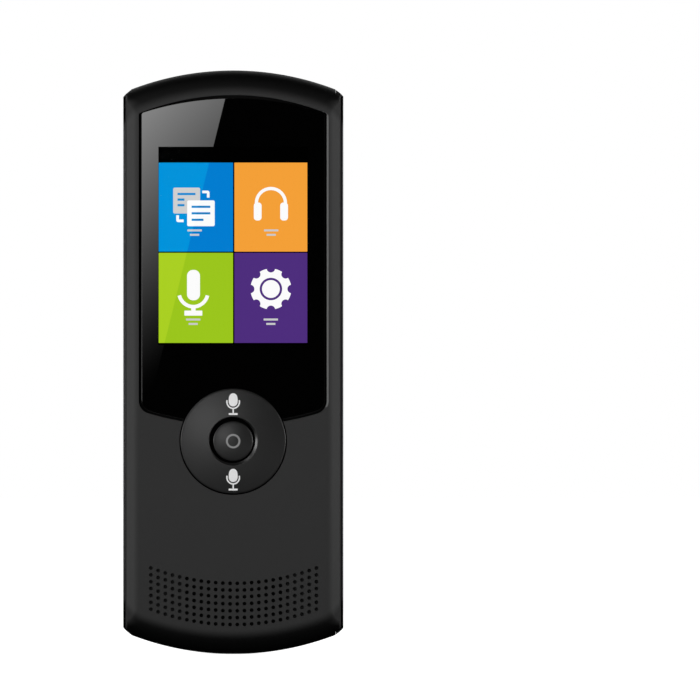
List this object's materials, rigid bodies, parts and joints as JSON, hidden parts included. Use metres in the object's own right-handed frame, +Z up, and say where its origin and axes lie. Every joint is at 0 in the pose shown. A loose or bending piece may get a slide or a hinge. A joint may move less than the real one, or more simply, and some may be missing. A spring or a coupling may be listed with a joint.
{
  "type": "handheld translator",
  "caption": "Slim handheld voice translator with a colour screen under a black lens, a rocker ring with a centre key, front and rear sound grilles and a micro-USB socket in its lower end.",
  "frame": {"origin": "bottom centre of the bounding box, below the lowest point of the lower end", "axes": "+Z up along the length, -Y out of the screen, +Y out of the back, +X to the right as the screen is seen"},
  "size_m": [0.0542, 0.0152, 0.1437],
  "materials": {
    "moulded_charcoal": "fine moulded texture",
    "gloss_black": "polished",
    "trim_metal": "dark anodised",
    "cover_glass": "black printed glass, polished",
    "display": "lit screen",
    "key_black": "satin moulded",
    "black_foam": "matt",
    "black_rubber": "matt",
    "board_green": "solder mask",
    "steel": "plated",
    "tinplate": "bright",
    "inner_plastic": "as moulded",
    "flex_amber": "polyimide film",
    "cell_foil": "pouch foil",
    "lead_red": "wire insulation",
    "spun_metal": "spun and blackened",
    "connector_cream": "as moulded",
    "mesh_weave": "woven acoustic mesh"
  },
  "bodies": {
    "case": {"front_housing": "moulded_charcoal", "back_cover": "gloss_black", "top_end_cap": "gloss_black", "bottom_end_cap": "gloss_black", "left_side_rail": "trim_metal", "right_side_rail": "trim_metal", "cover_lens": "cover_glass", "lens_gasket": "black_foam", "display_panel": "display", "inner_bracket": "inner_plastic", "display_flex": "flex_amber", "upper_switch": "steel", "centre_switch": "steel", "lower_switch": "steel", "grille_mesh": "mesh_weave", "microphone": "tinplate", "microphone_boot": "black_rubber", "main_board": "board_green", "shield_can": "tinplate", "wireless_module": "tinplate", "battery": "cell_foil", "battery_tape": "black_foam", "battery_plug": "connector_cream", "battery_lead": "lead_red", "speaker_plug": "connector_cream", "speaker_lead": "lead_red", "rear_speaker": "inner_plastic", "speaker_gasket": "black_foam", "speaker_badge": "spun_metal", "micro_usb_shell": "steel", "micro_usb_insert": "inner_plastic", "case_screw_1": "steel", "case_screw_2": "steel", "case_screw_3": "steel", "case_screw_4": "steel", "board_screw_1": "steel", "board_screw_2": "steel"},
    "ring": {"ring_button": "key_black"},
    "button": {"centre_button": "key_black"}
  },
  "joints": [
    {"name": "ring_rock", "type": "hinge", "parent": "case", "child": "ring", "pos_m": [0, -0.003, 0.05245], "axis": [1, 0, 0], "range_deg": [-2, 2], "stiffness_Nm_per_rad": 0.25},
    {"name": "button_press", "type": "slide", "parent": "case", "child": "button", "axis": [0, 1, 0], "range_m": [0, 0.0005], "stiffness_N_per_m": 600}
  ]
}
